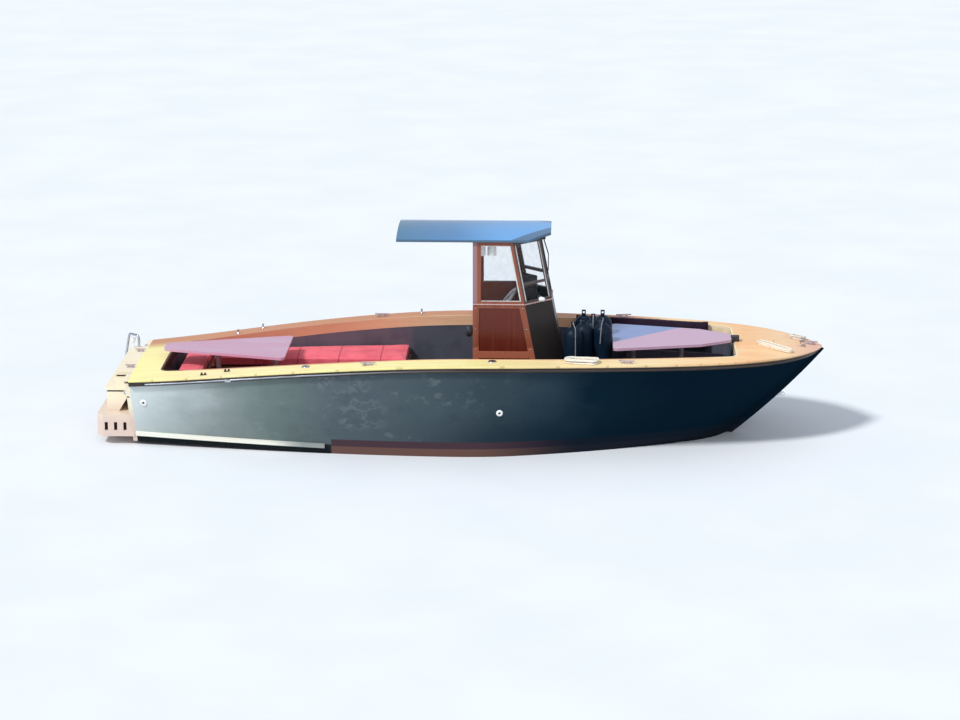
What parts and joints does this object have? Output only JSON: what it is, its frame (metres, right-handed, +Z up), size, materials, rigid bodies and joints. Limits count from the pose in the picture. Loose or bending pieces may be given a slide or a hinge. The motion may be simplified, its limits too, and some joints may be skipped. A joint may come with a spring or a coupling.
{
  "type": "open wooden speedboat with centre console",
  "caption": "Open wooden day boat with a centre console under a hard top, padded benches, tables, swim platform, inboard drive and rudder.",
  "frame": {"origin": "amidships on the centreline, on the surface of the water at rest", "axes": "+X forward to the bow, +Y to port, +Z up"},
  "size_m": [7.796, 2.5636, 2.942],
  "materials": {
    "hull_paint": "weathered satin paint",
    "bottom_paint": "matt antifouling",
    "pale_wood": "worn varnish",
    "cream_paint": "satin paint",
    "rub_rubber": "satin",
    "deck_wood": "gloss varnish, caulked seams",
    "mahogany": "gloss varnish",
    "lining_paint": "matt",
    "sole_wood": "satin",
    "coral_fabric": "woven outdoor cloth",
    "maroon_fabric": "woven outdoor cloth",
    "table_top": "gloss laminate",
    "grey_metal": "satin",
    "dark_plastic": "matt",
    "window_glass": "clear",
    "roof_paint": "gloss paint",
    "polished_steel": "polished",
    "fender_vinyl": "satin vinyl",
    "lamp_white": "gloss",
    "engine_paint": "satin",
    "bronze": "cast and polished",
    "rope_cream": "laid rope",
    "rope_grey": "braided rope"
  },
  "bodies": {
    "hull": {"aft_bench": "lining_paint", "aft_deck": "deck_wood", "aft_pedestals": "grey_metal", "aft_table": "table_top", "backrest_port": "maroon_fabric", "backrest_starboard": "maroon_fabric", "bow_bench": "lining_paint", "bow_eye": "polished_steel", "bow_pedestals": "grey_metal", "bow_table": "table_top", "chine_rails": "cream_paint", "cleats": "polished_steel", "coaming": "mahogany", "console_front": "mahogany", "console_glass": "window_glass", "console_quarter_port": "mahogany", "console_quarter_starboard": "mahogany", "console_side_port": "mahogany", "console_side_starboard": "mahogany", "cushion_aft_port": "coral_fabric", "cushion_aft_starboard": "coral_fabric", "cushion_bow_port": "maroon_fabric", "cushion_bow_starboard": "maroon_fabric", "cushion_stern": "coral_fabric", "engine": "engine_paint", "fenders": "fender_vinyl", "foredeck": "deck_wood", "hatch_hinges": "polished_steel", "helm_desk": "mahogany", "hull_bottom": "hull_paint", "keel": "bottom_paint", "lanyard_long": "rope_grey", "lanyard_mid": "rope_grey", "lanyard_short": "rope_grey", "lining_port": "lining_paint", "lining_starboard": "lining_paint", "roof": "roof_paint", "rope_fore_port": "rope_cream", "rope_fore_starboard": "rope_cream", "rope_side": "rope_cream", "rub_rails": "rub_rubber", "side_deck_port": "deck_wood", "side_deck_starboard": "deck_wood", "sole": "sole_wood", "speakers": "lamp_white", "stem": "hull_paint", "stern_eyes": "polished_steel", "stern_lamp": "lamp_white", "stern_rail": "polished_steel", "stern_steps": "pale_wood", "swim_platform": "pale_wood", "table_bracket": "dark_plastic", "throttle": "polished_steel", "topside_port": "hull_paint", "topside_starboard": "hull_paint", "transom": "pale_wood"},
    "steering": {"steering_wheel": "dark_plastic"},
    "drive": {"propeller": "bronze"},
    "rudder_body": {"rudder": "bottom_paint"},
    "hatch_lid": {"locker_hatch": "deck_wood"}
  },
  "joints": [
    {"name": "rudder_turn", "type": "hinge", "parent": "hull", "child": "rudder_body", "pos_m": [-3.18, 0, -0.4], "axis": [0, 0, 1], "range_deg": [-35, 35]},
    {"name": "wheel_turn", "type": "hinge", "parent": "hull", "child": "steering", "pos_m": [0.555, 0, 1.36], "axis": [-0.784, 0, 0.6207], "range_deg": [-525, 525]},
    {"name": "propeller_spin", "type": "hinge", "parent": "hull", "child": "drive", "pos_m": [-2.76, 0, -0.42], "axis": [1, 0, 0], "continuous": true},
    {"name": "hatch_open", "type": "hinge", "parent": "hull", "child": "hatch_lid", "pos_m": [3.6473, 0, 0.99933], "axis": [0, 1, 0], "range_deg": [0, 100]}
  ],
  "couplings": [
    {"joint": "wheel_turn", "follows": "rudder_turn", "ratio": -15}
  ]
}
